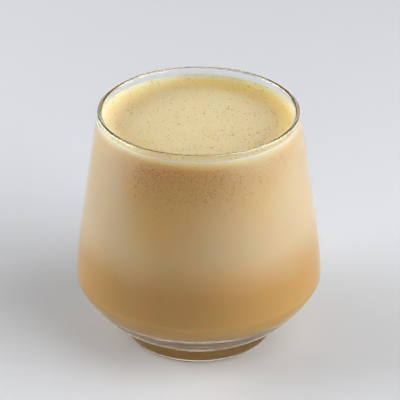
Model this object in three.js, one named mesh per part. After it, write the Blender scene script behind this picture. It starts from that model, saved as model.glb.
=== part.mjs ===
// A short stemless glass filled with raf coffee: a darker settled layer below, a pale frothed layer above.
// Millimetres, +Z up. The origin is at the middle of the ring that the foot stands on.
import * as THREE from 'three';

// Driving dimensions of the glass
const GLASS_HEIGHT = 91.5;
const RIM_RADIUS = 36.8;
const RIM_THICKNESS = 1.7;
const BELLY_RADIUS = 46.15;
const BELLY_HEIGHT = 24.8;
const FOOT_RADIUS = 28.4;
const FOOT_HEIGHT = 5.4;
const FOOT_EDGE_ROUNDING = 1.6;
const NECK_RADIUS = 29.3;
const NECK_HEIGHT = 6.7;
const RING_INNER_RADIUS = 26;
const PUSH_UP_RADIUS = 4;
const PUSH_UP_DEPTH = 3.6;

// Driving dimensions of the hollow in the glass
const BELLY_WALL = 2.4;
const HOLLOW_HEEL_RADIUS = 17;
const HOLLOW_HEEL_HEIGHT = 12.6;
const FLOOR_HEIGHT = 12.2;

// Driving dimensions of the drink
const FOAM_LEVEL_BELOW_RIM = 5.5;
const MENISCUS_RISE = 2.6;
const MENISCUS_WIDTH = 7;
const LAYER_HEIGHT = 42;
const TOUCH_GAP = 0.3;

// Fineness of the turned shapes
const TURN_SEGMENTS = 80;
const TAPER_STEPS = 9;
const SHOULDER_STEPS = 8;
const ROUNDING_STEPS = 3;
const LIP_STEPS = 6;
const MENISCUS_STEPS = 5;

// The outer taper leaves the belly straight up and leans in towards the rim.
const TAPER_BELLY_PULL = 10.5;
const TAPER_RIM_PULL = new THREE.Vector2(39.8, 72);

// The outer shoulder swells from the neck of the foot to the belly.
const SHOULDER_NECK_PULL = new THREE.Vector2(35.5, 7.5);
const SHOULDER_BELLY_PULL = new THREE.Vector2(BELLY_RADIUS, 21.5);

// The hollow's shoulder runs from its belly to the heel that ends its floor.
const HOLLOW_BELLY_PULL = new THREE.Vector2(BELLY_RADIUS - BELLY_WALL, 20.8);
const HOLLOW_HEEL_PULL = new THREE.Vector2(31, 13.4);

// Points of a turned outline are Vector2(radius, height).
function point(radius, height) {
  return new THREE.Vector2(radius, height);
}

function bend(start, startPull, endPull, end, steps) {
  return new THREE.CubicBezierCurve(start, startPull, endPull, end).getPoints(steps);
}

function arc(centre, radius, fromAngle, toAngle, steps) {
  const points = [];
  for (let step = 0; step <= steps; step += 1) {
    const angle = THREE.MathUtils.lerp(fromAngle, toAngle, step / steps);
    points.push(point(centre.x + radius * Math.cos(angle), centre.y + radius * Math.sin(angle)));
  }
  return points;
}

// Joins stretches of an outline that share their end points.
function chain(...stretches) {
  return stretches.flatMap((stretch, index) => (index === 0 ? stretch : stretch.slice(1)));
}

// The taper and shoulder of the hollow, from the rim's inner edge down to the heel.
function hollowWall() {
  const lipRadius = RIM_THICKNESS / 2;
  const lip = point(RIM_RADIUS - RIM_THICKNESS, GLASS_HEIGHT - lipRadius);
  const belly = point(BELLY_RADIUS - BELLY_WALL, BELLY_HEIGHT + 1);
  const heel = point(HOLLOW_HEEL_RADIUS, HOLLOW_HEEL_HEIGHT);
  const rimPull = point(TAPER_RIM_PULL.x - (RIM_THICKNESS + BELLY_WALL) / 2, TAPER_RIM_PULL.y);
  const bellyPull = point(belly.x, belly.y + TAPER_BELLY_PULL);
  return chain(
    bend(lip, rimPull, bellyPull, belly, TAPER_STEPS),
    bend(belly, HOLLOW_BELLY_PULL, HOLLOW_HEEL_PULL, heel, SHOULDER_STEPS),
  );
}

// The outer skin, from the standing ring up to the rim's outer edge.
function outerWall() {
  const lipRadius = RIM_THICKNESS / 2;
  const edgeCentre = point(FOOT_RADIUS - FOOT_EDGE_ROUNDING, FOOT_EDGE_ROUNDING);
  const neck = point(NECK_RADIUS, NECK_HEIGHT);
  const belly = point(BELLY_RADIUS, BELLY_HEIGHT);
  const bellyPull = point(BELLY_RADIUS, BELLY_HEIGHT + TAPER_BELLY_PULL);
  const rim = point(RIM_RADIUS, GLASS_HEIGHT - lipRadius);
  return [
    ...arc(edgeCentre, FOOT_EDGE_ROUNDING, -Math.PI / 2, 0, ROUNDING_STEPS),
    point(FOOT_RADIUS, FOOT_HEIGHT),
    ...chain(
      bend(neck, SHOULDER_NECK_PULL, SHOULDER_BELLY_PULL, belly, SHOULDER_STEPS),
      bend(belly, bellyPull, TAPER_RIM_PULL, rim, TAPER_STEPS),
    ),
  ];
}

function glassOutline() {
  const lipRadius = RIM_THICKNESS / 2;
  const lipCentre = point(RIM_RADIUS - lipRadius, GLASS_HEIGHT - lipRadius);
  // The underside is pushed up in a low cone inside the standing ring.
  const underside = [point(0, PUSH_UP_DEPTH), point(PUSH_UP_RADIUS, PUSH_UP_DEPTH), point(RING_INNER_RADIUS, 0)];
  const skin = chain(outerWall(), arc(lipCentre, lipRadius, 0, Math.PI, LIP_STEPS), hollowWall());
  return [...underside, ...skin, point(0, FLOOR_HEIGHT)];
}

// The drink's side, a touch gap inside the hollow, from the axis up to the rim.
function drinkSide() {
  const wall = hollowWall().reverse();
  const side = wall.map((here, index) => {
    const before = wall[Math.max(index - 1, 0)];
    const after = wall[Math.min(index + 1, wall.length - 1)];
    const along = after.clone().sub(before).normalize();
    return point(here.x - along.y * TOUCH_GAP, here.y + along.x * TOUCH_GAP);
  });
  return [point(0, FLOOR_HEIGHT + TOUCH_GAP), ...side];
}

// The side's point at a given height above its heel.
function sidePointAt(side, height) {
  const above = side.findIndex((here) => here.y > height);
  const low = side[above - 1];
  const high = side[above];
  return low.clone().lerp(high, (height - low.y) / (high.y - low.y));
}

function sideBetween(low, high) {
  const side = drinkSide();
  const inside = side.filter((here) => here.y > low && here.y < high);
  return [sidePointAt(side, low), ...inside, sidePointAt(side, high)];
}

function coffeeOutline() {
  const side = drinkSide();
  const top = sidePointAt(side, LAYER_HEIGHT);
  const below = side.filter((here) => here.y < LAYER_HEIGHT);
  return [...below, top, point(0, LAYER_HEIGHT)];
}

// The froth stands higher where it clings to the wall.
function foamOutline() {
  const level = GLASS_HEIGHT - FOAM_LEVEL_BELOW_RIM;
  const bottom = LAYER_HEIGHT + TOUCH_GAP;
  const side = sideBetween(bottom, level + MENISCUS_RISE);
  const edge = side[side.length - 1];
  const meniscus = [];
  for (let step = 1; step <= MENISCUS_STEPS; step += 1) {
    const inward = step / MENISCUS_STEPS;
    meniscus.push(point(edge.x - MENISCUS_WIDTH * inward, level + MENISCUS_RISE * (1 - inward) ** 2));
  }
  return [point(0, bottom), ...side, ...meniscus, point(0, level)];
}

// LatheGeometry turns about Y, so the turned shape is stood up along Z.
function turned(name, outline, material) {
  const geometry = new THREE.LatheGeometry(outline, TURN_SEGMENTS);
  geometry.rotateX(Math.PI / 2);
  const mesh = new THREE.Mesh(geometry, material);
  mesh.name = name;
  return mesh;
}

const clearGlass = new THREE.MeshStandardMaterial({
  color: '#e9ecee',
  roughness: 0.05,
  metalness: 0,
  transparent: true,
  opacity: 0.35,
});
const settledCoffee = new THREE.MeshStandardMaterial({ color: '#b48c5a', roughness: 0.5, metalness: 0 });
const frothedCream = new THREE.MeshStandardMaterial({ color: '#dcc49a', roughness: 0.7, metalness: 0 });

const rafCoffee = new THREE.Group();
rafCoffee.add(turned('glass', glassOutline(), clearGlass));
rafCoffee.add(turned('coffee', coffeeOutline(), settledCoffee));
rafCoffee.add(turned('foam', foamOutline(), frothedCream));

export default rafCoffee;
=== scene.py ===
import math

import bpy
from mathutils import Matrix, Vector


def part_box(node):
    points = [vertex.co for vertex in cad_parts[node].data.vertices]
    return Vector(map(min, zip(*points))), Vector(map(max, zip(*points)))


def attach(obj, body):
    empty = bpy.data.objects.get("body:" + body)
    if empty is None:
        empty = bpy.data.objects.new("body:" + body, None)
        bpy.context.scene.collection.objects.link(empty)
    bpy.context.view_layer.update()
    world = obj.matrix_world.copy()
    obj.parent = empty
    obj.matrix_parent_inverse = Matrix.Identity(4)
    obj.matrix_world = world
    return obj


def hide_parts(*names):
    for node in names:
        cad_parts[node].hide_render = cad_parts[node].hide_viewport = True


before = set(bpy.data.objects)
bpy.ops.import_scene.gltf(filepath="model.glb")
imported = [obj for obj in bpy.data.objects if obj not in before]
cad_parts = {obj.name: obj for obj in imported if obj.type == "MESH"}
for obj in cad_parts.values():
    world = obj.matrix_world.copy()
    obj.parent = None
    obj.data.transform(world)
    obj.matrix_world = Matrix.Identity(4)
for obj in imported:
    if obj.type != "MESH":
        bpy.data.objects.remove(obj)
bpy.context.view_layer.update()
glass_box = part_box("glass")
coffee_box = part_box("coffee")
foam_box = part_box("foam")

bl_info = {
    "name": "Glass of raf coffee",
    "version": (1, 0, 0),
    "blender": (4, 5, 0),
    "location": "View3D > Sidebar > Raf coffee",
    "description": "Makes a stemless glass filled with creamy frothed coffee",
    "category": "Object",
}

MM = 0.001


# Colours and nodes

# The sockets of a Mix node that mixes colours
MIX_A = 6
MIX_B = 7
MIX_RESULT = 2
WHITE = (1.0, 1.0, 1.0, 1.0)


def linear(hex_colour):
    """The linear colour of an sRGB hex value."""
    parts = [int(hex_colour[i:i + 2], 16) / 255 for i in (1, 3, 5)]
    return tuple(c / 12.92 if c <= 0.04045 else ((c + 0.055) / 1.055) ** 2.4 for c in parts)


def opaque(colour):
    """A colour with full alpha, as a node's socket takes it."""
    return (*colour, 1.0)


def add_node(tree, kind, inputs=None, **settings):
    """Adds a node, sets its settings, and sets or links its inputs by name or place."""
    node = tree.nodes.new(kind)
    for name, value in settings.items():
        setattr(node, name, value)
    for name, value in (inputs or {}).items():
        if isinstance(value, bpy.types.NodeSocket):
            tree.links.new(value, node.inputs[name])
        else:
            node.inputs[name].default_value = value
    return node


# Settings that a user would change

class GlassSettings(bpy.types.PropertyGroup):
    """Sizes and tint of the glass."""

    rim_radius: bpy.props.FloatProperty(
        name="Rim radius", description="Outer radius of the rim",
        default=36.8 * MM, unit="LENGTH", precision=5)
    rim_thickness: bpy.props.FloatProperty(
        name="Rim thickness", description="Wall at the rounded rim",
        default=1.7 * MM, unit="LENGTH", precision=5)
    belly_height: bpy.props.FloatProperty(
        name="Belly height", description="Height of the widest place",
        default=24.8 * MM, unit="LENGTH", precision=5)
    belly_wall: bpy.props.FloatProperty(
        name="Belly wall", description="Wall at the widest place",
        default=2.4 * MM, unit="LENGTH", precision=5)
    foot_radius: bpy.props.FloatProperty(
        name="Foot radius", description="Radius of the foot's side",
        default=28.4 * MM, unit="LENGTH", precision=5)
    foot_height: bpy.props.FloatProperty(
        name="Foot height", description="Height of the foot's side",
        default=5.4 * MM, unit="LENGTH", precision=5)
    foot_rounding: bpy.props.FloatProperty(
        name="Foot rounding", description="Radius of the foot's lower edge",
        default=1.6 * MM, unit="LENGTH", precision=5)
    floor_height: bpy.props.FloatProperty(
        name="Floor height", description="Top of the thick base inside",
        default=12.2 * MM, unit="LENGTH", precision=5)
    segments: bpy.props.IntProperty(
        name="Segments", description="Faces round the glass and the drink", default=192, min=24)
    tint: bpy.props.FloatVectorProperty(
        name="Tint", description="Colour that the glass lets through",
        default=linear("#f9f9fa"), subtype="COLOR", size=3)


class DrinkSettings(bpy.types.PropertyGroup):
    """Sizes and colours of the drink."""

    level: bpy.props.FloatProperty(
        name="Level", description="Height of the froth at the middle",
        default=86 * MM, unit="LENGTH", precision=5)
    cling_width: bpy.props.FloatProperty(
        name="Cling width", description="Width of the ring where the froth climbs the wall",
        default=7 * MM, unit="LENGTH", precision=5)
    wall_bite: bpy.props.FloatProperty(
        name="Wall bite", description="How far the drink reaches into the wall, so that no air shows between",
        default=0.15 * MM, unit="LENGTH", precision=5)
    border_softness: bpy.props.FloatProperty(
        name="Border softness", description="Height over which the layers' colours blend",
        default=19 * MM, unit="LENGTH", precision=5)
    soak: bpy.props.FloatProperty(
        name="Soak", description="How far red light spreads inside the drink",
        default=8 * MM, unit="LENGTH", precision=5)
    settled_colour: bpy.props.FloatVectorProperty(
        name="Settled coffee", description="Colour low in the glass",
        default=linear("#e4c284"), subtype="COLOR", size=3)
    frothed_colour: bpy.props.FloatVectorProperty(
        name="Frothed coffee", description="Colour high in the glass",
        default=linear("#f1dfbd"), subtype="COLOR", size=3)
    # Partly coffee gathered in the froth, partly painted shade: one of its patches lies on the front, which
    # faces the dim camera side
    stain_and_shade_colour: bpy.props.FloatVectorProperty(
        name="Stained froth", description="Colour where coffee gathers between the bubbles",
        default=linear("#f4d699"), subtype="COLOR", size=3)
    froth_colour: bpy.props.FloatVectorProperty(
        name="Froth", description="Colour of the froth from above",
        default=linear("#ffe5ba"), subtype="COLOR", size=3)
    # Painted light: the froth paler where it ends on the wall, as if lit through the glass
    lit_edge_colour: bpy.props.FloatVectorProperty(
        name="Froth's edge", description="Colour of the thin froth that ends on the wall",
        default=linear("#fff0da"), subtype="COLOR", size=3)
    # Painted shade: a gold tone where the froth bends up to the wall and gets less light
    crease_shade_colour: bpy.props.FloatVectorProperty(
        name="Froth near the wall", description="Colour of the froth where it bends up to the wall",
        default=linear("#fedf9f"), subtype="COLOR", size=3)
    # Partly the darker liquid of a bubble's film, partly painted shade for the bubbles' hollows; it also
    # darkens the froth's pores as painted shade
    bubble_shade_colour: bpy.props.FloatVectorProperty(
        name="Bubbles", description="Colour seen through a bubble's film",
        default=linear("#d6a76c"), subtype="COLOR", size=3)
    relief_depth: bpy.props.FloatProperty(
        name="Relief depth", description="Height of the froth's small swells",
        default=0.12 * MM, unit="LENGTH", precision=5)
    surface_bubbles: bpy.props.FloatProperty(
        name="Surface bubbles", description="Bubbles on each square metre of open froth", default=1.1e6)
    wall_bubbles: bpy.props.FloatProperty(
        name="Wall bubbles", description="Bubbles on each square metre of froth at the wall", default=5e6)
    seed: bpy.props.IntProperty(name="Seed", description="Start of the random draws", default=7)


class StudioSettings(bpy.types.PropertyGroup):
    """The floor, the lights and the camera."""

    floor_colour: bpy.props.FloatVectorProperty(
        name="Floor", description="Colour of the pale paper floor",
        default=linear("#e3e5e9"), subtype="COLOR", size=3)
    light: bpy.props.FloatProperty(
        name="Light", description="Strength of all the softboxes together", default=1.0, min=0)
    softbox_side: bpy.props.FloatProperty(
        name="Softbox side", description="Width and height of each softbox", default=0.6, unit="LENGTH")
    softbox_distance: bpy.props.FloatProperty(
        name="Softbox distance", description="From the glass to each softbox", default=1.0, unit="LENGTH")
    surroundings: bpy.props.FloatProperty(
        name="Surroundings", description="Brightness of the pale wall behind the glass",
        default=0.27, min=0)
    camera_distance: bpy.props.FloatProperty(
        name="Camera distance", description="From the camera to its target", default=0.7, unit="LENGTH")
    camera_tilt: bpy.props.FloatProperty(
        name="Camera tilt", description="How far the camera looks down",
        default=math.radians(29.16), subtype="ANGLE")
    lens: bpy.props.FloatProperty(
        name="Lens", description="Focal length in millimetres on a 36 mm sensor", default=169.5)
    target: bpy.props.FloatVectorProperty(
        name="Target", description="The point at the middle of the picture",
        default=(0.48 * MM, 0, 53.77 * MM), subtype="XYZ", size=3)


# Outlines, as lists of (radius, height) in metres

# Points and pulls of the outline's curves, as (radius, height), or as a height alone at the belly's radius
NECK = (29.3 * MM, 6.7 * MM)
HEEL = (17 * MM, 12.6 * MM)
PUSH_UP = (4 * MM, 3.6 * MM)
RING_INNER_RADIUS = 26 * MM
TAPER_PULL = (39.8 * MM, 72 * MM)
SHOULDER_PULLS = ((35.5 * MM, 7.5 * MM), 21.5 * MM)
HOLLOW_PULLS = (20.8 * MM, (31 * MM, 13.4 * MM))

# How far over the belly's widest place the taper's curve is pulled straight up
BELLY_PULL = 10.5 * MM
# How much higher the widest place is inside than outside
INNER_BELLY_RISE = 1 * MM

# Straight stretches in a long curve, in the lip, in the foot's edge or the inner floor, and in a short curve
LONG_STEPS = 36
LIP_STEPS = 16
EDGE_STEPS = 10
SHORT_STEPS = 8

# Width of the rings that the froth's surface is cut into
FROTH_RING = 0.4 * MM
# The froth's surface is what lies above its level less this, and the wall's bubbles end this far over it
SURFACE_MARGIN = 1 * MM

# Going up the wall, bubbles begin at the first height and are densest from the second
BUBBLE_ZONE = (65 * MM, 84 * MM)


def bend(start, start_pull, end_pull, end, steps):
    """A cubic curve from start to end."""
    points = []
    for step in range(steps + 1):
        t = step / steps
        weights = ((1 - t) ** 3, 3 * t * (1 - t) ** 2, 3 * t * t * (1 - t), t ** 3)
        corners = (start, start_pull, end_pull, end)
        points.append(tuple(sum(w * c[k] for w, c in zip(weights, corners)) for k in (0, 1)))
    return points


def arc(centre, radius, start_angle, end_angle, steps):
    """Part of a circle."""
    angles = [start_angle + (end_angle - start_angle) * step / steps for step in range(steps + 1)]
    return [(centre[0] + radius * math.cos(a), centre[1] + radius * math.sin(a)) for a in angles]


def chain(*stretches):
    """Joins stretches that share their end points."""
    joined = list(stretches[0])
    for stretch in stretches[1:]:
        joined.extend(stretch[1:])
    return joined


def hollow_wall(glass):
    """The inside of the glass from the rim down to the heel of its floor."""
    lip = (glass.rim_radius - glass.rim_thickness, glass_box[1].z - glass.rim_thickness / 2)
    belly = (glass_box[1].x - glass.belly_wall, glass.belly_height + INNER_BELLY_RISE)
    rim_pull = (TAPER_PULL[0] - (glass.rim_thickness + glass.belly_wall) / 2, TAPER_PULL[1])
    belly_pull = (belly[0], belly[1] + BELLY_PULL)
    return chain(
        bend(lip, rim_pull, belly_pull, belly, LONG_STEPS),
        bend(belly, (belly[0], HOLLOW_PULLS[0]), HOLLOW_PULLS[1], HEEL, LONG_STEPS),
    )


def hollow_floor(glass):
    """The inside of the glass from the heel to the axis: a shallow dish."""
    height = glass.floor_height
    return bend(HEEL, (HEEL[0] - 6 * MM, height), (5 * MM, height), (0, height), EDGE_STEPS)


def outer_wall(glass):
    """The outside of the glass from the standing ring up to the rim."""
    belly_radius = glass_box[1].x
    edge = (glass.foot_radius - glass.foot_rounding, glass.foot_rounding)
    foot_top = (glass.foot_radius, glass.foot_height)
    foot_pull = (glass.foot_radius, glass.foot_height + 0.5 * MM)
    neck_pull = (NECK[0] - 0.7 * MM, NECK[1] - 0.5 * MM)
    belly = (belly_radius, glass.belly_height)
    belly_pull = (belly_radius, glass.belly_height + BELLY_PULL)
    rim = (glass.rim_radius, glass_box[1].z - glass.rim_thickness / 2)
    side = chain(
        bend(foot_top, foot_pull, neck_pull, NECK, SHORT_STEPS),
        bend(NECK, SHOULDER_PULLS[0], (belly_radius, SHOULDER_PULLS[1]), belly, LONG_STEPS),
        bend(belly, belly_pull, TAPER_PULL, rim, LONG_STEPS),
    )
    return [*arc(edge, glass.foot_rounding, -math.pi / 2, 0, EDGE_STEPS), *side]


def underside():
    """The low cone under the foot, from near the axis out to the standing ring."""
    inner_pull = (PUSH_UP[0] + 2 * MM, PUSH_UP[1])
    ring_pull = (RING_INNER_RADIUS - 1.5 * MM, 0)
    return bend(PUSH_UP, inner_pull, ring_pull, (RING_INNER_RADIUS, 0), SHORT_STEPS)


def glass_outline(glass):
    """The whole outline, from the axis under the foot round the rim to the axis inside."""
    lip_radius = glass.rim_thickness / 2
    lip_centre = (glass.rim_radius - lip_radius, glass_box[1].z - lip_radius)
    lip = arc(lip_centre, lip_radius, 0, math.pi, LIP_STEPS)
    skin = chain(outer_wall(glass), lip, hollow_wall(glass), hollow_floor(glass))
    return [(0, PUSH_UP[1]), *underside(), *skin]


def drink_side(glass, drink):
    """The drink's side from the middle of its underside up to the rim, just inside the glass wall."""
    line = chain(hollow_floor(glass)[::-1], hollow_wall(glass)[::-1])
    side = []
    for index, here in enumerate(line):
        before = Vector(line[max(index - 1, 0)])
        after = Vector(line[min(index + 1, len(line) - 1)])
        along = (after - before).normalized()
        side.append((here[0] + along.y * drink.wall_bite, here[1] - along.x * drink.wall_bite))
    side[0] = (0, side[0][1])
    return side


def cut_at(side, height):
    """The side's point at a height."""
    for low, high in zip(side, side[1:]):
        if low[1] <= height <= high[1]:
            share = (height - low[1]) / (high[1] - low[1])
            return (low[0] + share * (high[0] - low[0]), height)
    raise ValueError("the drink's side doesn't reach that height")


def border_height():
    """Where the settled and the frothed layer meet."""
    return (coffee_box[1].z + foam_box[0].z) / 2


def froth_surface(glass, drink):
    """The open top of the froth from the wall to the axis, which climbs the wall in a hollow curve."""
    top = foam_box[1].z
    edge = cut_at(drink_side(glass, drink), top)
    rings = round(edge[0] / FROTH_RING)
    surface = [edge]
    for ring in range(1, rings + 1):
        radius = edge[0] * (1 - ring / rings)
        climb = max(0, 1 - (edge[0] - radius) / drink.cling_width)
        surface.append((radius, drink.level + (top - drink.level) * climb ** 2))
    return surface


def drink_outline(glass, drink):
    """The whole drink: the side from under the middle up to the froth's edge, and the froth's surface."""
    below_edge = [point for point in drink_side(glass, drink) if point[1] < foam_box[1].z]
    return [*below_edge, *froth_surface(glass, drink)]


def froth_side(glass, drink):
    """The part of the drink's side where bubbles hang on the wall."""
    top = drink.level + SURFACE_MARGIN
    return [point for point in drink_side(glass, drink) if BUBBLE_ZONE[0] < point[1] < top]


# Shapes made by Geometry Nodes

TURNING_RADIUS = 0.1
SHARP_ANGLE = math.radians(40)
WELD_DISTANCE = 0.001 * MM
SWELL_SIZE = 5 * MM
SWELL_FADE = 5 * MM

# Slow patches of a noise: their size, the noise's fourth coordinate, and where they begin and are full
# Browner patches of the drink, partly coffee in the froth and partly painted shade: the draw puts one across
# the front, which faces the dim camera side
STAIN_AND_SHADE = (66 * MM, 243.6, 0.51, 0.67)
# Patches of painted shade where the froth bends up to the wall
GOLDEN_SHADE = (50 * MM, 136.0, 0.4, 0.6)


def new_tree(name, sockets):
    """A node tree that gives a geometry. It has inputs by name and kind, which come back with it."""
    tree = bpy.data.node_groups.new(name, "GeometryNodeTree")
    for socket, kind in sockets.items():
        tree.interface.new_socket(socket, in_out="INPUT", socket_type="NodeSocket" + kind)
    tree.interface.new_socket("Geometry", in_out="OUTPUT", socket_type="NodeSocketGeometry")
    return tree, add_node(tree, "NodeGroupInput").outputs


def end_tree(tree, geometry, material):
    """Ends a tree: its instances are made real and its material is set."""
    realized = add_node(tree, "GeometryNodeRealizeInstances", {"Geometry": geometry})
    finished = add_node(tree, "GeometryNodeSetMaterial", {
        "Geometry": realized.outputs[0], "Material": material})
    add_node(tree, "NodeGroupOutput", {"Geometry": finished.outputs[0]})


def turning_tree():
    """Turns an outline in the XZ plane round the Z axis into a closed skin. The outline is swept along a
    circle, so it is first moved in by the circle's radius."""
    tree, given = new_tree("Turned outline", {
        "Geometry": "Geometry", "Segments": "Int", "Weld Distance": "Float", "Material": "Material"})
    placed = add_node(tree, "GeometryNodeTransform", {
        "Geometry": given["Geometry"], "Translation": (-TURNING_RADIUS, 0, 0)})
    laid = add_node(tree, "GeometryNodeTransform", {
        "Geometry": placed.outputs[0], "Rotation": (math.pi / 2, 0, 0)})
    profile = add_node(tree, "GeometryNodeMeshToCurve", {"Mesh": laid.outputs[0]})
    circle = add_node(tree, "GeometryNodeCurvePrimitiveCircle", {
        "Resolution": given["Segments"], "Radius": TURNING_RADIUS})
    skin = add_node(tree, "GeometryNodeCurveToMesh", {
        "Curve": circle.outputs["Curve"], "Profile Curve": profile.outputs[0]})
    welded = add_node(tree, "GeometryNodeMergeByDistance", {
        "Geometry": skin.outputs[0], "Distance": given["Weld Distance"]})
    outward = add_node(tree, "GeometryNodeFlipFaces", {"Mesh": welded.outputs[0]})
    smooth = add_node(tree, "GeometryNodeSetShadeSmooth", {"Geometry": outward.outputs[0]})
    angle = add_node(tree, "GeometryNodeInputMeshEdgeAngle").outputs["Unsigned Angle"]
    soft_edge = add_node(tree, "FunctionNodeCompare", {0: angle, 1: SHARP_ANGLE}, operation="LESS_THAN")
    creased = add_node(tree, "GeometryNodeSetShadeSmooth", {
        "Geometry": smooth.outputs[0], "Shade Smooth": soft_edge.outputs[0]}, domain="EDGE")
    end_tree(tree, creased.outputs[0], given["Material"])
    return tree


def patches(tree, place, kind):
    """How strong a kind of patch is, from 0 to 1: the same in a material and in a shape."""
    size, draw, begin, full = kind
    noise = add_node(tree, "ShaderNodeTexNoise", {
        "Vector": place, "W": draw, "Scale": 1 / size, "Detail": 1.0, "Roughness": 0.4},
        noise_dimensions="4D")
    strength = add_node(tree, "ShaderNodeMapRange", {
        "Value": noise.outputs[0], "From Min": begin, "From Max": full},
        interpolation_type="SMOOTHSTEP")
    return strength.outputs[0]


def relief_tree():
    """Raises the froth's surface in small swells that end before the wall."""
    tree, given = new_tree("Froth relief", {
        "Geometry": "Geometry", "Depth": "Float", "Level": "Float", "Reach": "Float",
        "Material": "Material"})
    place = add_node(tree, "GeometryNodeInputPosition").outputs[0]
    flat = add_node(tree, "ShaderNodeVectorMath", {0: place, 1: (1, 1, 0)}, operation="MULTIPLY")
    radius = add_node(tree, "ShaderNodeVectorMath", {0: flat.outputs[0]}, operation="LENGTH")
    inside = add_node(tree, "ShaderNodeMath", {
        0: given["Reach"], 1: radius.outputs["Value"]}, operation="SUBTRACT")
    fading = add_node(tree, "ShaderNodeMapRange", {
        "Value": inside.outputs[0], "From Min": 0.0, "From Max": SWELL_FADE},
        interpolation_type="SMOOTHSTEP")
    swell = add_node(tree, "ShaderNodeTexNoise", {"Vector": place, "Scale": 1 / SWELL_SIZE, "Detail": 3.0})
    centred = add_node(tree, "ShaderNodeMath", {0: swell.outputs[0], 1: 0.5}, operation="SUBTRACT")
    scaled = add_node(tree, "ShaderNodeMath", {
        0: centred.outputs[0], 1: given["Depth"]}, operation="MULTIPLY")
    faded = add_node(tree, "ShaderNodeMath", {
        0: scaled.outputs[0], 1: fading.outputs[0]}, operation="MULTIPLY")
    offset = add_node(tree, "ShaderNodeCombineXYZ", {"Z": faded.outputs[0]})
    height = add_node(tree, "ShaderNodeSeparateXYZ", {0: place}).outputs["Z"]
    low = add_node(tree, "ShaderNodeMath", {0: given["Level"], 1: SURFACE_MARGIN}, operation="SUBTRACT")
    above = add_node(tree, "FunctionNodeCompare", {0: height, 1: low.outputs[0]}, operation="GREATER_THAN")
    raised = add_node(tree, "GeometryNodeSetPosition", {
        "Geometry": given["Geometry"], "Selection": above.outputs[0], "Offset": offset.outputs[0]})
    end_tree(tree, raised.outputs[0], given["Material"])
    return tree


def bubble_tree():
    """Scatters small flattened bubbles over a skin, more in the drink's browner patches, fewer low in it, and
    with many small ones to each large one."""
    tree, given = new_tree("Scattered bubbles", {
        "Geometry": "Geometry", "Density": "Float", "Bare Share": "Float", "Smallest Radius": "Float",
        "Largest Radius": "Float", "Flatness": "Float", "Roundness Steps": "Int", "Seed": "Int",
        "Material": "Material"})
    place = add_node(tree, "GeometryNodeInputPosition").outputs[0]
    share = add_node(tree, "ShaderNodeMapRange", {
        "Value": patches(tree, place, STAIN_AND_SHADE), "To Min": given["Bare Share"]})
    height = add_node(tree, "ShaderNodeSeparateXYZ", {0: place}).outputs["Z"]
    risen = add_node(tree, "ShaderNodeMapRange", {
        "Value": height, "From Min": BUBBLE_ZONE[0], "From Max": BUBBLE_ZONE[1]},
        interpolation_type="SMOOTHSTEP")
    part = add_node(tree, "ShaderNodeMath", {
        0: share.outputs[0], 1: risen.outputs[0]}, operation="MULTIPLY")
    density = add_node(tree, "ShaderNodeMath", {
        0: part.outputs[0], 1: given["Density"]}, operation="MULTIPLY")
    points = add_node(tree, "GeometryNodeDistributePointsOnFaces", {
        "Mesh": given["Geometry"], "Density": density.outputs[0], "Seed": given["Seed"]})
    draw = add_node(tree, "FunctionNodeRandomValue", {"Seed": given["Seed"]}, data_type="FLOAT")
    rare = add_node(tree, "ShaderNodeMath", {0: draw.outputs[1], 1: 3.0}, operation="POWER")
    size = add_node(tree, "ShaderNodeMapRange", {
        "Value": rare.outputs[0], "To Min": given["Smallest Radius"], "To Max": given["Largest Radius"]})
    thick = add_node(tree, "ShaderNodeMath", {
        0: size.outputs[0], 1: given["Flatness"]}, operation="MULTIPLY")
    scale = add_node(tree, "ShaderNodeCombineXYZ", {
        "X": size.outputs[0], "Y": size.outputs[0], "Z": thick.outputs[0]})
    ball = add_node(tree, "GeometryNodeMeshIcoSphere", {
        "Radius": 1.0, "Subdivisions": given["Roundness Steps"]})
    smooth = add_node(tree, "GeometryNodeSetShadeSmooth", {"Geometry": ball.outputs["Mesh"]})
    placed = add_node(tree, "GeometryNodeInstanceOnPoints", {
        "Points": points.outputs["Points"], "Instance": smooth.outputs[0],
        "Rotation": points.outputs["Rotation"], "Scale": scale.outputs[0]})
    end_tree(tree, placed.outputs[0], given["Material"])
    return tree


def evaluated_piece(name, base_mesh, tree, values):
    """Runs a node tree on a mesh, with its inputs set by name, and gives the result as a plain object."""
    worker = bpy.data.objects.new(name + "_worker", base_mesh)
    bpy.context.scene.collection.objects.link(worker)
    modifier = worker.modifiers.new("Shape", "NODES")
    modifier.node_group = tree
    for socket in tree.interface.items_tree:
        if socket.in_out == "INPUT" and socket.name in values:
            modifier[socket.identifier] = values[socket.name]
    graph = bpy.context.evaluated_depsgraph_get()
    mesh = bpy.data.meshes.new_from_object(worker.evaluated_get(graph))
    bpy.data.objects.remove(worker)
    mesh.name = name
    piece = bpy.data.objects.new(name, mesh)
    bpy.context.scene.collection.objects.link(piece)
    if not mesh.polygons:
        raise RuntimeError(name + " came out empty")
    return piece


def turned_piece(name, outline, segments, material):
    """A smooth piece turned from an outline."""
    mesh = bpy.data.meshes.new(name + "_outline")
    points = [(radius, 0, height) for radius, height in outline]
    mesh.from_pydata(points, [(i, i + 1) for i in range(len(points) - 1)], [])
    values = {"Segments": segments, "Weld Distance": WELD_DISTANCE, "Material": material}
    return evaluated_piece(name, mesh, turning_tree(), values)


# Materials

GLASS_IOR = 1.52
DRINK_IOR = 1.34


def new_material(name):
    """A material with an empty node tree."""
    material = bpy.data.materials.new(name)
    material.use_nodes = True
    material.node_tree.nodes.clear()
    return material


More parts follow.
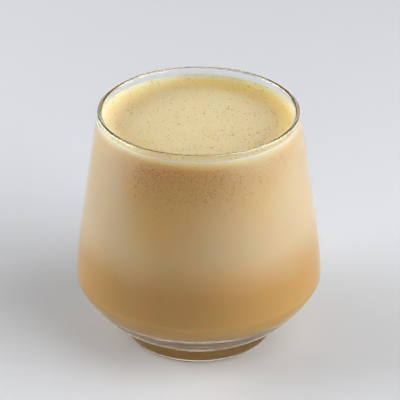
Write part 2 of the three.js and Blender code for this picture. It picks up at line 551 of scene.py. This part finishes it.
def soda_lime_glass(glass):
    """Pressed and fire-polished soda-lime glass: clear, with a glint that slow ripples in its skin
    unsettle."""
    material = new_material("clear_soda_lime_glass")
    tree = material.node_tree
    place = add_node(tree, "ShaderNodeTexCoord").outputs["Object"]
    ripple = add_node(tree, "ShaderNodeTexNoise", {"Vector": place, "Scale": 1 / (22 * MM), "Detail": 1.0})
    relief = add_node(tree, "ShaderNodeBump", {
        "Height": ripple.outputs[0], "Strength": 0.25, "Distance": 0.1 * MM})
    surface = add_node(tree, "ShaderNodeBsdfPrincipled", {
        "Base Color": opaque(glass.tint), "Roughness": 0.01, "IOR": GLASS_IOR, "Transmission Weight": 1.0,
        "Normal": relief.outputs[0]})
    add_node(tree, "ShaderNodeOutputMaterial", {"Surface": surface.outputs[0]})
    return material


def cream_depth(drink):
    """How light soaks through cream: far in the red, less in the green, least in the blue."""
    return {"Subsurface Weight": 1.0, "Subsurface Radius": (1.0, 0.6, 0.35), "Subsurface Scale": drink.soak}


def creamy_coffee(drink):
    """Coffee whipped with cream, pressed on the glass: settled and tan below, frothed and pale above, browner
    in slow patches that are partly coffee in the froth and partly painted shade on the front, paler still
    where it ends under the rim as painted light through the glass, cloudy where the layers mix. Seen through
    the glass at a low angle, its skin is a mirror."""
    material = new_material("creamy_coffee")
    tree = material.node_tree
    place = add_node(tree, "ShaderNodeTexCoord").outputs["Object"]
    height = add_node(tree, "ShaderNodeSeparateXYZ", {0: place}).outputs["Z"]

    # The border wanders up and down by up to 4 mm in clouds of 18 mm, and blends further up than down
    cloud = add_node(tree, "ShaderNodeTexNoise", {
        "Vector": place, "Scale": 1 / (18 * MM), "Detail": 2.0, "Distortion": 0.6})
    wander = add_node(tree, "ShaderNodeMapRange", {
        "Value": cloud.outputs[0], "To Min": -4 * MM, "To Max": 4 * MM})
    uneven = add_node(tree, "ShaderNodeMath", {0: height, 1: wander.outputs[0]}, operation="ADD")
    frothed = add_node(tree, "ShaderNodeMapRange", {
        "Value": uneven.outputs[0], "From Min": border_height() - 0.42 * drink.border_softness,
        "From Max": border_height() + 0.58 * drink.border_softness}, interpolation_type="SMOOTHSTEP")
    # Browner in slow patches: partly coffee in the froth, partly painted shade on the front
    froth = add_node(tree, "ShaderNodeMix", {
        "Factor": patches(tree, place, STAIN_AND_SHADE), MIX_A: opaque(drink.frothed_colour),
        MIX_B: opaque(drink.stain_and_shade_colour)}, data_type="RGBA")
    layers = add_node(tree, "ShaderNodeMix", {
        "Factor": frothed.outputs[0], MIX_A: opaque(drink.settled_colour),
        MIX_B: froth.outputs[MIX_RESULT]}, data_type="RGBA")
    # Painted light: paler at the top of the side, where the froth ends under the rim and light comes through
    # the glass
    lit_top_share = add_node(tree, "ShaderNodeMapRange", {
        "Value": height, "From Min": drink.level + 0.4 * MM, "From Max": drink.level + 2.9 * MM})
    colour = add_node(tree, "ShaderNodeMix", {
        "Factor": lit_top_share.outputs[0], MIX_A: layers.outputs[MIX_RESULT],
        MIX_B: opaque(drink.lit_edge_colour)}, data_type="RGBA")
    surface = add_node(tree, "ShaderNodeBsdfPrincipled", {
        "Base Color": colour.outputs[MIX_RESULT], "Roughness": 0.5, "IOR": DRINK_IOR,
        "Specular IOR Level": 0.1, **cream_depth(drink)})

    # The drink bends light less than the glass does, so light that meets it at a low angle is thrown back
    low_angle = add_node(tree, "ShaderNodeFresnel", {"IOR": DRINK_IOR / GLASS_IOR})
    mirror = add_node(tree, "ShaderNodeBsdfGlossy", {"Color": WHITE, "Roughness": 0.05})
    contact = add_node(tree, "ShaderNodeMixShader", {
        0: low_angle.outputs[0], 1: surface.outputs[0], 2: mirror.outputs[0]})
    add_node(tree, "ShaderNodeOutputMaterial", {"Surface": contact.outputs[0]})
    return material


def open_froth(drink, glass):
    """Fine froth open to the air: a matt, faintly grainy skin of burst bubbles, with painted shade in its
    pores, gold-toned painted shade in patches where it bends up to the wall, and pale painted light where it
    ends there."""
    material = new_material("fine_froth")
    tree = material.node_tree
    place = add_node(tree, "ShaderNodeTexCoord").outputs["Object"]
    flat = add_node(tree, "ShaderNodeVectorMath", {0: place, 1: (1, 1, 0)}, operation="MULTIPLY")
    radius = add_node(tree, "ShaderNodeVectorMath", {0: flat.outputs[0]}, operation="LENGTH").outputs["Value"]
    wall = glass.rim_radius - glass.rim_thickness
    width = drink.cling_width
    # Painted shade: a gold tone in patches where the froth bends up to the wall, down to the mix below
    bent = add_node(tree, "ShaderNodeMapRange", {
        "Value": radius, "From Min": wall - 1.6 * width, "From Max": wall - 0.4 * width},
        interpolation_type="SMOOTHSTEP")
    crease_shade_strength = add_node(tree, "ShaderNodeMapRange", {"Value": patches(tree, place, GOLDEN_SHADE), "To Min": 0.15})
    crease_shade_mask = add_node(tree, "ShaderNodeMath", {
        0: bent.outputs[0], 1: crease_shade_strength.outputs[0]}, operation="MULTIPLY")
    # Painted light: paler where the froth ends on the wall and light comes through the glass
    lit_edge_share = add_node(tree, "ShaderNodeMapRange", {
        "Value": radius, "From Min": wall - 0.3 * width, "From Max": wall - 0.05 * width, "To Max": 0.5},
        interpolation_type="SMOOTHSTEP")
    inner = add_node(tree, "ShaderNodeMix", {
        "Factor": crease_shade_mask.outputs[0], MIX_A: opaque(drink.froth_colour),
        MIX_B: opaque(drink.crease_shade_colour)}, data_type="RGBA")
    base = add_node(tree, "ShaderNodeMix", {
        "Factor": lit_edge_share.outputs[0], MIX_A: inner.outputs[MIX_RESULT],
        MIX_B: opaque(drink.lit_edge_colour)}, data_type="RGBA")

    # The froth's pores are about 0.2 mm wide, too fine to show in the render, so they are drawn at 0.7 mm,
    # darkened towards the bubbles' colour as painted shade inside them
    pores = add_node(tree, "ShaderNodeTexVoronoi", {"Vector": place, "Scale": 1 / (0.7 * MM)})
    pore_shade = add_node(tree, "ShaderNodeMapRange", {
        "Value": pores.outputs["Distance"], "From Min": 0.12, "From Max": 0.35, "To Min": 0.25,
        "To Max": 0.0})
    colour = add_node(tree, "ShaderNodeMix", {
        "Factor": pore_shade.outputs[0], MIX_A: base.outputs[MIX_RESULT],
        MIX_B: opaque(drink.bubble_shade_colour)}, data_type="RGBA")
    relief = add_node(tree, "ShaderNodeBump", {
        "Height": pores.outputs["Distance"], "Strength": 0.3, "Distance": 0.1 * MM})
    surface = add_node(tree, "ShaderNodeBsdfPrincipled", {
        "Base Color": colour.outputs[MIX_RESULT], "Roughness": 0.55, "IOR": DRINK_IOR,
        "Specular IOR Level": 0.4, "Normal": relief.outputs[0], **cream_depth(drink)})
    add_node(tree, "ShaderNodeOutputMaterial", {"Surface": surface.outputs[0]})
    return material


def bubble_film(drink):
    """The film of a coffee bubble: thin, wet and softly glossy, and darker than the froth, partly because it
    holds no air and partly as painted shade for the bubble's dark hollow; paler on some bubbles than on
    others."""
    material = new_material("bubble_film")
    tree = material.node_tree
    place = add_node(tree, "ShaderNodeTexCoord").outputs["Object"]
    thinned = add_node(tree, "ShaderNodeTexNoise", {"Vector": place, "Scale": 1 / (3 * MM), "Detail": 1.0})
    colour = add_node(tree, "ShaderNodeMix", {
        "Factor": thinned.outputs[0], MIX_A: opaque(drink.bubble_shade_colour),
        MIX_B: opaque(drink.stain_and_shade_colour)}, data_type="RGBA")
    surface = add_node(tree, "ShaderNodeBsdfPrincipled", {
        "Base Color": colour.outputs[MIX_RESULT], "Roughness": 0.35, "IOR": DRINK_IOR,
        "Specular IOR Level": 0.3})
    add_node(tree, "ShaderNodeOutputMaterial", {"Surface": surface.outputs[0]})
    return material


def studio_paper(studio):
    """A roll of matt studio paper, with the faint cloudiness of its fibres."""
    material = new_material("matt_studio_paper")
    tree = material.node_tree
    place = add_node(tree, "ShaderNodeTexCoord").outputs["Object"]
    fibres = add_node(tree, "ShaderNodeTexNoise", {"Vector": place, "Scale": 1 / (60 * MM), "Detail": 3.0})
    shade = add_node(tree, "ShaderNodeMapRange", {"Value": fibres.outputs[0], "To Min": 0.98, "To Max": 1.0})
    colour = add_node(tree, "ShaderNodeMix", {
        "Factor": 1.0, MIX_A: opaque(studio.floor_colour), MIX_B: shade.outputs[0]},
        data_type="RGBA", blend_type="MULTIPLY")
    surface = add_node(tree, "ShaderNodeBsdfPrincipled", {
        "Base Color": colour.outputs[MIX_RESULT], "Roughness": 0.9, "Specular IOR Level": 0.1})
    add_node(tree, "ShaderNodeOutputMaterial", {"Surface": surface.outputs[0]})
    return material


# Operators

class RAF_OT_make_glass(bpy.types.Operator):
    """Make the clear glass"""

    bl_idname = "raf_coffee.make_glass"
    bl_label = "Make the glass"

    def execute(self, context):
        glass = context.scene.raf_glass
        piece = turned_piece("clear_glass", glass_outline(glass), glass.segments, soda_lime_glass(glass))
        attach(piece, "root")
        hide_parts("glass")
        return {"FINISHED"}


class RAF_OT_make_drink(bpy.types.Operator):
    """Make the drink: one body, so that light soaks through the soft border between its two layers"""

    bl_idname = "raf_coffee.make_drink"
    bl_label = "Make the drink"

    def execute(self, context):
        glass = context.scene.raf_glass
        drink = context.scene.raf_drink
        cream = creamy_coffee(drink)
        smooth = turned_piece("smooth_drink", drink_outline(glass, drink), glass.segments, cream)
        values = {"Depth": drink.relief_depth, "Level": drink.level, "Material": cream,
                  "Reach": froth_surface(glass, drink)[0][0]}
        piece = evaluated_piece("creamy_drink", smooth.data, relief_tree(), values)
        bpy.data.objects.remove(smooth)
        piece.data.materials.append(open_froth(drink, glass))
        for face in piece.data.polygons:
            if face.normal.z > 0.5 and face.center.z > drink.level - SURFACE_MARGIN:
                face.material_index = 1
        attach(piece, "root")
        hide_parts("coffee", "foam")
        return {"FINISHED"}


class RAF_OT_make_bubbles(bpy.types.Operator):
    """Make the bubbles on the froth and where it touches the wall"""

    bl_idname = "raf_coffee.make_bubbles"
    bl_label = "Make the bubbles"

    def execute(self, context):
        glass = context.scene.raf_glass
        drink = context.scene.raf_drink
        film = bubble_film(drink)
        surface = {
            "Density": drink.surface_bubbles, "Bare Share": 0.3, "Smallest Radius": 0.07 * MM,
            "Largest Radius": 0.31 * MM, "Flatness": 0.4, "Roundness Steps": 2}
        wall = {
            "Density": drink.wall_bubbles, "Bare Share": 0.04, "Smallest Radius": 0.06 * MM,
            "Largest Radius": 0.29 * MM, "Flatness": 0.35, "Roundness Steps": 1}
        kinds = (
            ("froth_bubbles", froth_surface(glass, drink), surface),
            ("wall_bubbles", froth_side(glass, drink), wall),
        )
        for name, outline, values in kinds:
            skin = turned_piece(name + "_skin", outline, glass.segments, film)
            values = {**values, "Seed": drink.seed, "Material": film}
            piece = evaluated_piece(name, skin.data, bubble_tree(), values)
            bpy.data.objects.remove(skin)
            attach(piece, "root")
        return {"FINISHED"}


# Each softbox: name, degrees round from the camera's side to the right, degrees up, and watts
SOFTBOXES = (
    ("right", 90, 15, 4.6),
    ("front_right", 57, 15, 4.7),
    ("high_right", 58, 55, 1.6),
    ("left", -90, 15, 6.1),
    ("back_left", -120, 15, 2.2),
    ("back", 180, 15, 1.2),
)


class RAF_OT_make_stage(bpy.types.Operator):
    """Make the paper floor, the lights and the camera"""

    bl_idname = "raf_coffee.make_stage"
    bl_label = "Make the stage"

    def execute(self, context):
        studio = context.scene.raf_studio
        self.make_floor(context, studio)
        self.make_lights(context, studio)
        self.make_surroundings(context, studio)
        self.make_camera(context, studio)
        self.set_picture(context)
        return {"FINISHED"}

    def make_floor(self, context, studio):
        """A square of paper, six metres wide, so that its edge is out of the picture."""
        half = 3.0
        mesh = bpy.data.meshes.new("paper_floor")
        corners = [(-half, -half, 0), (half, -half, 0), (half, half, 0), (-half, half, 0)]
        mesh.from_pydata(corners, [], [(0, 1, 2, 3)])
        mesh.materials.append(studio_paper(studio))
        floor = bpy.data.objects.new("paper_floor", mesh)
        context.scene.collection.objects.link(floor)

    def make_lights(self, context, studio):
        """The softboxes, all at one distance from the middle of the glass and turned to it."""
        middle = Vector((0, 0, glass_box[1].z / 2))
        for name, azimuth, elevation, power in SOFTBOXES:
            light = bpy.data.lights.new(name, "AREA")
            light.energy = power * studio.light
            light.size = studio.softbox_side
            lamp = bpy.data.objects.new(name, light)
            around = math.radians(azimuth)
            up = math.radians(elevation)
            way = Vector((math.sin(around) * math.cos(up), -math.cos(around) * math.cos(up), math.sin(up)))
            lamp.location = middle + way * studio.softbox_distance
            lamp.rotation_euler = (-way).to_track_quat("-Z", "Y").to_euler()
            lamp.visible_camera = False
            context.scene.collection.objects.link(lamp)

    def make_surroundings(self, context, studio):
        """A pale wall behind the glass that fades to a dim room on the camera's side."""
        world = bpy.data.worlds.new("pale_surroundings")
        world.use_nodes = True
        tree = world.node_tree
        tree.nodes.clear()
        way = add_node(tree, "ShaderNodeTexCoord").outputs["Generated"]
        behind = add_node(tree, "ShaderNodeSeparateXYZ", {0: way}).outputs["Y"]
        strength = add_node(tree, "ShaderNodeMapRange", {
            "Value": behind, "From Min": -0.3, "From Max": 1.0, "To Min": 0.02,
            "To Max": studio.surroundings})
        wall = add_node(tree, "ShaderNodeBackground", {"Color": WHITE, "Strength": strength.outputs[0]})
        add_node(tree, "ShaderNodeOutputWorld", {"Surface": wall.outputs[0]})
        context.scene.world = world

    def make_camera(self, context, studio):
        """The camera, in front of the glass and looking down at it."""
        data = bpy.data.cameras.new("camera")
        data.lens = studio.lens
        data.sensor_width = 36
        camera = bpy.data.objects.new("camera", data)
        back = Vector((0, -math.cos(studio.camera_tilt), math.sin(studio.camera_tilt)))
        camera.location = Vector(studio.target) + back * studio.camera_distance
        camera.rotation_euler = (-back).to_track_quat("-Z", "Y").to_euler()
        context.scene.collection.objects.link(camera)
        context.scene.camera = camera

    def set_picture(self, context):
        """The picture's contrast, and enough bounces for light that the glass and the drink mirror often."""
        context.scene.view_settings.view_transform = "Standard"
        context.scene.view_settings.look = "High Contrast"
        context.scene.cycles.use_denoising = True
        context.scene.cycles.max_bounces = 24
        context.scene.cycles.transmission_bounces = 16
        context.scene.cycles.glossy_bounces = 16


class RAF_PT_panel(bpy.types.Panel):
    """Lists the steps that make the glass of coffee"""

    bl_idname = "RAF_PT_panel"
    bl_label = "Glass of raf coffee"
    bl_space_type = "VIEW_3D"
    bl_region_type = "UI"
    bl_category = "Raf coffee"

    def draw(self, context):
        for operator in OPERATORS:
            self.layout.operator(operator.bl_idname)


SETTINGS = {"raf_glass": GlassSettings, "raf_drink": DrinkSettings, "raf_studio": StudioSettings}
OPERATORS = (RAF_OT_make_glass, RAF_OT_make_drink, RAF_OT_make_bubbles, RAF_OT_make_stage)


def register():
    """Registers the classes and ties the settings to the scene."""
    for cls in (*SETTINGS.values(), *OPERATORS, RAF_PT_panel):
        bpy.utils.register_class(cls)
    for name, cls in SETTINGS.items():
        setattr(bpy.types.Scene, name, bpy.props.PointerProperty(type=cls))


def unregister():
    """Takes away what register made."""
    for name in SETTINGS:
        delattr(bpy.types.Scene, name)
    for cls in (RAF_PT_panel, *OPERATORS, *SETTINGS.values()):
        bpy.utils.unregister_class(cls)


def main():
    """Makes the glass of coffee on its stage."""
    register()
    bpy.ops.raf_coffee.make_glass()
    bpy.ops.raf_coffee.make_drink()
    bpy.ops.raf_coffee.make_bubbles()
    bpy.ops.raf_coffee.make_stage()


if __name__ == "__main__":
    main()
